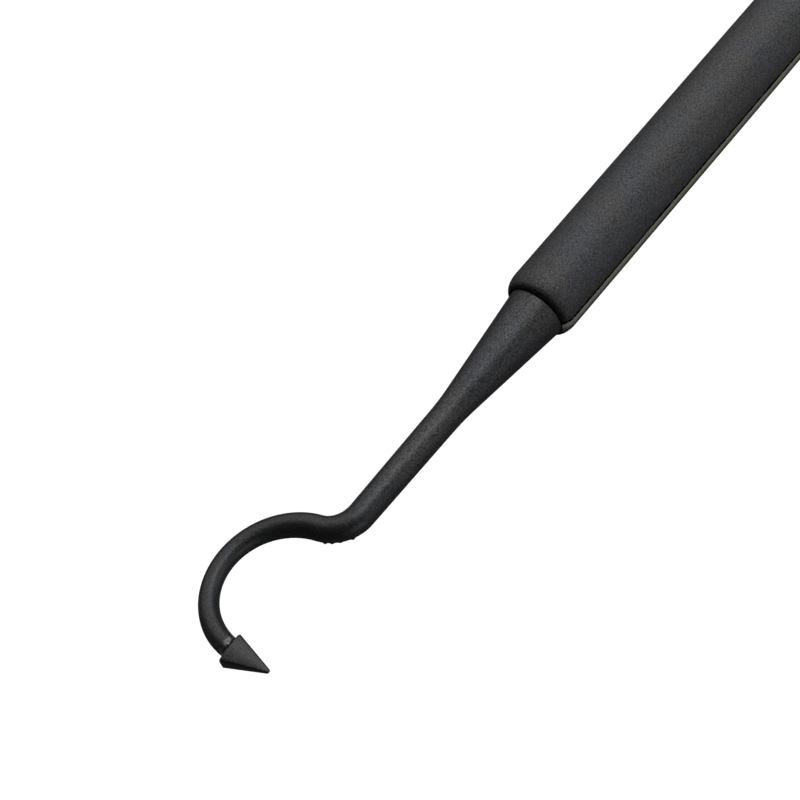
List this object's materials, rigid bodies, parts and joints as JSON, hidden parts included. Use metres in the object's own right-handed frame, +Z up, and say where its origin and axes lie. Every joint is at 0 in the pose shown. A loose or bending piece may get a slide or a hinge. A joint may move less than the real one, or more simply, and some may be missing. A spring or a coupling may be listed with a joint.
{
  "type": "hook spudger",
  "caption": "Double-ended plastic spudger: a round handle with an arrow-tipped hook pick at the front and a flat prying blade at the back.",
  "frame": {"origin": "on the handle's axis, halfway along the handle", "axes": "+X along the handle towards the hook, +Z up with the tool lying on a bench on its handle and the back of the hook, so the hook's plane is turned 20.7 degrees about +X from level; the arrow tip points towards +Y"},
  "size_m": [0.1706, 0.0128, 0.008],
  "materials": {
    "handle_nylon": "fine moulded grain",
    "pick_nylon": "fine moulded grain, smoother towards the hook",
    "tip_nylon": "smooth satin"
  },
  "bodies": {
    "root": {"upper_handle_shell": "handle_nylon", "lower_handle_shell": "handle_nylon", "hook_pick": "pick_nylon", "blade_pick": "pick_nylon", "arrow_tip": "tip_nylon"}
  },
  "joints": []
}
